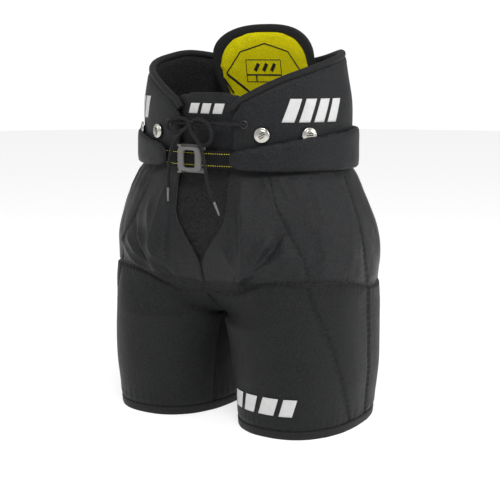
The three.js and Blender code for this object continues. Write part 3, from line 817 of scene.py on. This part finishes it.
# Belt sleeves: two flat tubes of smooth nylon with foam inside, that meet at the back and carry the
# strap to the buckle. A row of stitching runs along each edge.
belt_top = profile((10, 362), (20, 367), (45, 379), (80, 388), (120, 392), (180, 392))
for side, word, front in ((1, "left", 40), (-1, "right", 57)):
    first = waist_turn(front)

    def sleeve_place(u, up, out):
        turn = mix(first, math.pi, u**1.05)
        high = belt_top(math.degrees(turn)) - 0.5
        low = belt_foot + 2.5 * (1 - ease((turn - first) / 0.5))
        corner = 7 * (1 - ease((turn - first) / 0.09)) * abs(up) ** 4
        z = mix(low, high, (up + 1) / 2) - math.copysign(corner, up) * 0.8
        bulge = 0.9 * noise.noise(Vector((turn * 4, z * 0.03, 40 + side))) if out > 0 else 0
        hem_line = 0.8 * math.exp(-(((abs(up) - 0.8) / 0.05) ** 2)) if out > 0 else 0
        point = waist_point(turn, z, 5 - out * 4.6 - bulge + hem_line)
        point.x *= side
        return point

    sleeve = pillow(f"{word}_belt_pad", smooth_nylon, 220, 72, sleeve_place, end_power=40, edge_power=6)
    swell(sleeve, 1.5)
    dress(sleeve, "hips", "nylon_shell", f"{word}_belt_sleeve")
    for up in (-0.8, 0.8):
        line = []
        for i in range(160):
            u = mix(0.01, 0.995, i / 159)
            point = sleeve_place(u, up, 1.0)
            line.append((point, belt_outward(point)))
        line = seat_on(sleeve, line)
        row = stitches(f"{word}_belt_stitches_{'upper' if up > 0 else 'lower'}", thread_black, line)
        dress(row, "hips", "nylon_shell")

# Brace buttons: stamped nickel caps on short shanks, each riveted through its wrap, with three plain
# slanted bars of black enamel across its face. The eyelets of the lace are a darker nickel.
nickel, shader, place = start_material("nickel", (0.60, 0.58, 0.53), 0.25, Metallic=1.0)
feed(shader, "Roughness", noise_at(place, 220, 4) * 0.3 + 0.14)
bumped(shader, noise_at(place, 500), 0.00005)
enamel, shader, place = start_material("enamel_black", (0.012, 0.012, 0.012), 0.35)
feed(shader, "Roughness", noise_at(place, 300) * 0.2 + 0.25)
eyelet_dark, shader, place = start_material("eyelet_dark_nickel", (0.06, 0.06, 0.062), 0.35, Metallic=1.0)
feed(shader, "Roughness", noise_at(place, 400) * 0.25 + 0.25)
button_height = 383
cap_outline = [
    (0, 5.3), (4.5, 5.25), (6.6, 4.9), (7.2, 4.3), (8.2, 4.5), (9.3, 4.1), (9.8, 3.2), (9.7, 2.5),
    (8.8, 2.1), (3.6, 2.0), (3.6, 0.3), (0, 0.3),
]


def resurface(node, material):
    """Gives a piece that is shown as it was built its own material."""
    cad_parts[node].data.materials.clear()
    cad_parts[node].data.materials.append(material)


for side, word in ((1, "left"), (-1, "right")):
    for where, degrees in (("front", 31), ("side", 58), ("back", 152)):
        node = f"{word}_{where}_button"
        turn = math.radians(degrees)
        out = Vector((side * math.sin(turn) / belt_wide, -math.cos(turn) / belt_deep, 0)).normalized()
        seat = wing_point(turn, button_height, wing_depth)
        seat.x *= side
        bm = bmesh.new()
        ends = [bm.verts.new((r, 0, h)) for r, h in cap_outline]
        rim_edges = [bm.edges.new(pair) for pair in zip(ends, ends[1:])]
        bmesh.ops.spin(
            bm, geom=ends + rim_edges, cent=(0, 0, 0), axis=(0, 0, 1), angle=2 * math.pi,
            steps=48, use_merge=True,
        )
        facing = Vector((0, 0, 1)).rotation_difference(out).to_matrix().to_4x4()
        set_down = Matrix.Translation(seat + out * 0.3) @ facing
        bmesh.ops.transform(bm, matrix=set_down, verts=bm.verts)
        dress(finish_mesh(f"{node}_cap", bm, nickel), "hips", "nickel", node)
        bm = bmesh.new()
        slant = Matrix.Rotation(math.radians(52), 4, "Z")
        for bar in (-2.6, 0, 2.6):
            bmesh.ops.create_cube(
                bm, size=1,
                matrix=set_down @ slant @ Matrix.Translation((0.6 * bar, bar, 5.25))
                @ Matrix.Diagonal((9 - abs(bar), 1.3, 0.5, 1)),
            )
        dress(finish_mesh(f"{node}_enamel", bm, enamel), "hips", "nickel")
    resurface(f"{word}_eyelet", eyelet_dark)

# Strap and buckle: woven black webbing with two rows of yellow stitching. One length is fixed at the
# wearer's right, and the other slides through a grey moulded cam buckle, whose lever is a frame that
# turns on a steel pin.
thread_yellow, shader, place = start_material(
    "thread_yellow", (0.72, 0.62, 0.02), 0.55, Specular_IOR_Level=0.3
)
feed(shader, "Base Color", blend_color(noise_at(place, 500), (0.55, 0.47, 0.02), (0.8, 0.7, 0.04)))
bumped(shader, wave_at(place, 500, "Z"), 0.00008)
webbing = fabric(
    "webbing_black", (0.002, 0.002, 0.002), (0.009, 0.009, 0.0095), 0.65, 130, 0.5, 0.0002, gloss=0.13
)
curve_radius, strap_depth = 226, 4
curve_centre = curve_radius - belt_deep
strap_height = 351  # of its middle, above the floor


def on_curve(degrees, out, z):
    """A point in front of the wearer, on the strap's own arc."""
    turn = math.radians(degrees)
    return Vector((out * math.sin(turn), curve_centre - out * math.cos(turn), z))


def strap_piece(name, low, high, out):
    return pillow(
        name, webbing, 90, 16,
        lambda u, up, side: on_curve(mix(low, high, u), out - 1 + side * 1.05, strap_height + up * 11.2),
        end_power=60, edge_power=8,
    )


strap_out = curve_radius - strap_depth
anchor_out = strap_out - 2.7
dress(strap_piece("strap_webbing", -12.6, 18, strap_out), "adjusting_strap", "webbing", "adjusting_strap")
dress(strap_piece("anchor_webbing", -24, -8.6, anchor_out), "hips", "webbing", "anchor_strap")
for name, low, high, out, body in (
    ("strap", -12.2, 17.6, strap_out, "adjusting_strap"), ("anchor", -23.6, -9.0, anchor_out, "hips"),
):
    for height in (-7.6, 7.6):
        line = []
        for i in range(60):
            degrees = mix(low, high, i / 59)
            facing = Vector((math.sin(math.radians(degrees)), -math.cos(math.radians(degrees)), 0))
            line.append((on_curve(degrees, out - 0.15, strap_height + height), facing))
        row = stitches(
            f"{name}_stitches_{'upper' if height > 0 else 'lower'}", thread_yellow, line, 3.2, 2.3, 1.1
        )
        dress(row, body, "webbing")

# Each belt sleeve is open at its front end, and hollow as far as its length of strap runs into it.
slot_outer = strap_out + 1.6
for word, low, high, inner in (("left", 8, 25, strap_out - 2.6), ("right", -27, -8, strap_out - 5.3)):

    def slot_point(u, up, side):
        out = mix(inner, slot_outer, (side + 1) / 2)
        return on_curve(mix(low, high, u), out, strap_height + up * 12.6)

    cutter = pillow(f"{word}_slot", webbing, 60, 16, slot_point, end_power=90, edge_power=16)
    sleeve = bpy.data.objects[f"{word}_belt_pad"]
    hollow = sleeve.modifiers.new("hollow", "BOOLEAN")
    hollow.operation, hollow.solver, hollow.object = "DIFFERENCE", "EXACT", cutter
    cut_out = baked(sleeve)
    sleeve.modifiers.clear()
    sleeve.data = cut_out
    bpy.data.objects.remove(cutter)

buckle_grey, shader, place = start_material(
    "buckle_grey", (0.07, 0.07, 0.068), 0.42, Specular_IOR_Level=0.4
)
cloudy = noise_at(place, 120, 3)
feed(shader, "Base Color", blend_color(cloudy, (0.115, 0.113, 0.108), (0.15, 0.148, 0.142)))
feed(shader, "Roughness", noise_at(place, 260, 4) * 0.25 + 0.32)
bumped(shader, noise_at(place, 900), 0.00005)
pin_steel, shader, place = start_material("pin_steel", (0.6, 0.6, 0.6), 0.3, Metallic=1.0)
feed(shader, "Roughness", noise_at(place, 300) * 0.3 + 0.2)
resurface("buckle_base", buckle_grey)
resurface("buckle_pin", pin_steel)

lever_low, lever_high = (-18.5, -15.5), (18.5, 15.5)
window_low, window_high = (-10, -11.2), (9, 11.2)


def round_rectangle(t, low, high, corner):
    """A point a share t of the way round a rectangle with rounded corners."""
    half = Vector(((high[0] - low[0]) / 2, (high[1] - low[1]) / 2))
    centre = Vector(((high[0] + low[0]) / 2, (high[1] + low[1]) / 2))
    a = 2 * math.pi * t
    power = 2 * min(half) / corner
    return centre + Vector((half.x * squared(math.cos(a), power), half.y * squared(math.sin(a), power)))


def lever_point(u, v):
    """Goes round the lever's frame by u and round its bar by v. The end with the pull is thicker."""
    a = 2 * math.pi * v
    across = squared(math.cos(a), 4)
    lift = squared(math.sin(a), 4)
    inner = round_rectangle(u, window_low, window_high, 3)
    outer = round_rectangle(u, lever_low, lever_high, 4)
    flat = inner.lerp(outer, (across + 1) / 2)
    thick = 2.0 + 0.7 * ease((-flat.x - 11) / 5)
    return Vector((flat.x, flat.y, 4.5 + lift * thick))


bm = grid(160, 28, lever_point)
buckle_turn = math.radians(-3.6)
bmesh.ops.transform(
    bm,
    matrix=Matrix.Translation((0, curve_centre, strap_height))
    @ Matrix.Rotation(buckle_turn, 4, "Z")
    @ Matrix.Translation((0, -strap_out, 0))
    @ Matrix.Rotation(math.pi / 2, 4, "X"),
    verts=bm.verts,
)
dress(finish_mesh("buckle_lever_frame", bm, buckle_grey), "buckle_lever", "buckle_plastic", "buckle_lever")

# Marks: plain slanted bars on the wraps, the tongue and the left thigh. They are a thick white print,
# half a millimetre high, so each one follows the cloth that it is on.
print_white, shader, place = start_material("print_white", (0.6, 0.6, 0.6), 0.5, Specular_IOR_Level=0.2)
feed(shader, "Base Color", blend_color(noise_at(place, 140, 3), (0.52, 0.52, 0.52), (0.66, 0.66, 0.65)))
bumped(shader, noise_at(place, 700), 0.0001)


def lay_on(piece, bm, lift=0.15):
    """Lays a patch, in millimetres, onto the surface that a pad came out with."""
    tree = BVHTree.FromObject(piece, bpy.context.evaluated_depsgraph_get())
    for v in bm.verts:
        place, out, _, _ = tree.find_nearest(v.co * MM)
        v.co = place / MM + out * lift


def mark(name, body, surface, first, last, low, high, bars, slant, cloth=None, gap=0.28):
    """Slanted bars side by side on the cloth. surface(a, z) is about where it lies, and a runs from
    first to last."""
    bm = bmesh.new()
    pitch = (last - first) / bars
    for i in range(bars):
        part = grid(10, 10, lambda u, v: surface(
            first + pitch * (i + u * (1 - gap)) + slant * (v - 0.5), mix(low, high, v)))
        mesh = bpy.data.meshes.new("part")
        part.to_mesh(mesh)
        part.free()
        bm.from_mesh(mesh)
        bpy.data.meshes.remove(mesh)
    if cloth:
        lay_on(cloth, bm)
    made = finish_mesh(name, bm, print_white, weld=0.001)
    thicken(made, 0.5, 1)
    return dress(made, body, "nylon_shell")


def wing_surface(side):
    def point(a, z):
        turn = math.radians(a)
        place = wing_point(turn, z, wing_depth - 0.4 - wing_wave(turn, z, side))
        place.x *= side
        return place

    return point


for side, word in ((1, "left"), (-1, "right")):
    wrap = bpy.data.objects[f"{word}_hip_wrap_pad"]
    mark(f"{word}_wrap_mark", "hips", wing_surface(side), 44, 84, 399, 428, 4, 5 * side, wrap)


def tongue_surface(x, z):
    up = 2 * (z - tongue_foot) / (tongue_top - tongue_foot) - 1
    depth = tongue_depth - pad_half + tongue_sag(x, up) - 0.5
    point = wing_point(waist_turn(abs(x), 22), z, depth)
    return Vector((x, point.y, z))


mark("tongue_mark", "hips", tongue_surface, -26, 30, 408, 421, 3, 4, tongue)


def thigh_surface(turn, z):
    (point, out), = shell_line(1, [(turn, z)])
    return point + out * 0.4


mark("thigh_mark", "left_leg", thigh_surface, 0.155, 0.33, 32, 55, 4, 0.012)

# Spine guard: a padded flap of black cloth with a moulded yellow face, bound all round in tape, that
# hinges on a seam inside the waist. Its face has dark lines printed along its borders.
guard_base, guard_top = 372, 523
guard_root = belt_deep - 18.7 - 8 - 0.35
guard_side = profile((guard_base, 56), (430, 72), (462, 80.5), (481, 79))


def guard_half(z, border):
    """Half the guard's width at a height, inside a border of even width."""
    top = guard_top - border
    crown = math.sqrt(max(0, 1 - max(0, (z - (top - 42)) / 42) ** 2))
    return (79 - border) * crown**0.8 if z > top - 42 else guard_side(z) - border


def guard_point(x, z, depth):
    return Vector((x, guard_root - 0.18 * (z - guard_base) - depth - x * x / 360, z))


def guard_pad(name, material, low, border, depth, thick, dome):
    def place(u, up, out):
        z = mix(low, guard_top - border - 0.4, 1 - (1 - u) ** 1.6)
        half = guard_half(z, border)
        middle = 1 - abs(up) ** 2.5
        return guard_point(up * half, z, depth + out * (thick / 2 + dome * middle * (out > 0)))

    return pillow(name, material, 90, 60, place, end_power=16, edge_power=7)


guard_yellow = fabric(
    "guard_yellow", (0.62, 0.55, 0.002), (0.80, 0.71, 0.003), 0.6, 240, 0.25, 0.0005, 0, 0.08
)
guard_black = fabric(
    "guard_black", (0.008, 0.008, 0.009), (0.014, 0.014, 0.015), 0.58, 240, 0.25, 0.0004
)
backing = swell(guard_pad("spine_guard_back", guard_black, guard_base + 3, 1, 2.7, 4.6, 0), 0.6)
dress(backing, "spine_guard", "binding", "spine_guard_backing")
face = swell(guard_pad("spine_guard_face", guard_yellow, guard_base + 10, 8, 9, 6.4, 2.2), 1)
dress(face, "spine_guard", "guard_foam", "spine_guard_foam")


def guard_rim(share, inset):
    """A point along the guard's outline, from one foot over the top to the other, and inset from it."""
    v = 1 - abs(2 * share - 1)
    z = mix(guard_base + 8, guard_top - inset - 0.01, 1 - (1 - v) ** 2)
    return math.copysign(guard_half(z, inset), share - 0.5), z


def guard_tape_point(u, v):
    a = 2 * math.pi * v
    x, z = guard_rim(u, 6 - 6.2 * squared(math.cos(a), 2.6))
    return guard_point(x, z, 6.2 + 5.6 * squared(math.sin(a), 2.8))


dress(
    finish_mesh("spine_guard_tape", grid(150, 24, guard_tape_point), guard_black),
    "spine_guard", "binding", "spine_guard_binding",
)


def guard_face_point(x, z):
    half = max(1, guard_half(z, 10))
    middle = 1 - min(1, abs(x / half)) ** 2.5
    return guard_point(x, z, 9 + 3.5 + 2.5 * middle + 0.25)


def ribbon(name, material, points, width, body, slot):
    """A flat printed line on the guard's face, along (x, z) points."""
    places = [Vector(p) for p in points]

    def place(u, v):
        t = u * (len(places) - 1)
        i = min(int(t), len(places) - 2)
        here = places[i].lerp(places[i + 1], t - i)
        ahead = places[min(i + 1, len(places) - 1)] - places[max(i - (t - i < 0.5), 0)]
        across = Vector((-ahead.y, ahead.x)).normalized()
        spot = here + across * (v - 0.5) * width
        return guard_face_point(spot.x, spot.y)

    bm = grid(12 * (len(places) - 1), 4, place)
    lay_on(face, bm)
    made = finish_mesh(name, bm, material)
    thicken(made, 0.4, 0)
    return dress(made, body, slot)


for side, word in ((1, "left"), (-1, "right")):
    for name, width, points in (
        ("upper_line", 1.7, [(0, 497), (38, 486), (61, 456)]),
        ("lower_line", 3.2, [(61, 456), (30, 431)]),
        ("foot_line", 3.0, [(68, 449), (53, 429)]),
    ):
        ribbon(f"guard_{word}_{name}", guard_black, [(side * x, z) for x, z in points], width,
               "spine_guard", "guard_foam")
for name, low, high in (
    ("label_top", (-31, 455), (24, 475)), ("label_left", (-31, 445), (-17, 454)),
    ("label_right", (-16, 445), (24, 454)),
):
    corners = [low, (high[0], low[1]), high, (low[0], high[1]), low]
    for i, pair in enumerate(zip(corners, corners[1:])):
        ribbon(f"guard_{name}_{i}", guard_black, pair, 1.0, "spine_guard", "guard_foam")
for i in range(3):
    x = -18 + i * 13
    ribbon(f"guard_label_bar_{i}", guard_black, [(x, 460), (x + 6, 470)], 5, "spine_guard", "guard_foam")

# Floor and light: a wide pale floor that gives off a little light of its own, a plain bright room, and
# three soft square lamps: a key high in front, a weaker one at the wearer's right and one at the left.
floor_pale, shader, place = start_material(
    "floor_pale", (0.55, 0.55, 0.55), 0.9, Specular_IOR_Level=0.1,
    Emission_Color=(1, 1, 1, 1), Emission_Strength=0.66,
)
feed(shader, "Roughness", noise_at(place, 4) * 0.1 + 0.85)
floor_mesh = bmesh.new()
bmesh.ops.create_circle(floor_mesh, cap_ends=True, segments=96, radius=6000)
finish_mesh("floor", floor_mesh, floor_pale)
world = bpy.data.worlds.new("studio")
world.use_nodes = True
backdrop = world.node_tree.nodes["Background"]
backdrop.inputs["Color"].default_value = (1, 1, 1, 1)
seen = Value(world.node_tree, world.node_tree.nodes.new("ShaderNodeLightPath").outputs["Is Camera Ray"])
world.node_tree.links.new((seen * 0.6 + 0.42).out, backdrop.inputs["Strength"])
bpy.context.scene.view_settings.view_transform = "Standard"
bpy.context.scene.world = world
for name, place, power, size in (
    ("key", (0.9, -1.4, 2.3), 34, 1.0), ("fill", (-2.0, -1.2, 1.4), 9, 1.6),
    ("side", (2.2, 0.3, 1.2), 22, 1.0),
):
    lamp = bpy.data.objects.new(name, bpy.data.lights.new(name, "AREA"))
    lamp.data.energy, lamp.data.size = power, size
    lamp.location = place
    lamp.rotation_euler = (Vector((0, 0, 0.28)) - Vector(place)).to_track_quat("-Z", "Y").to_euler()
    bpy.context.scene.collection.objects.link(lamp)
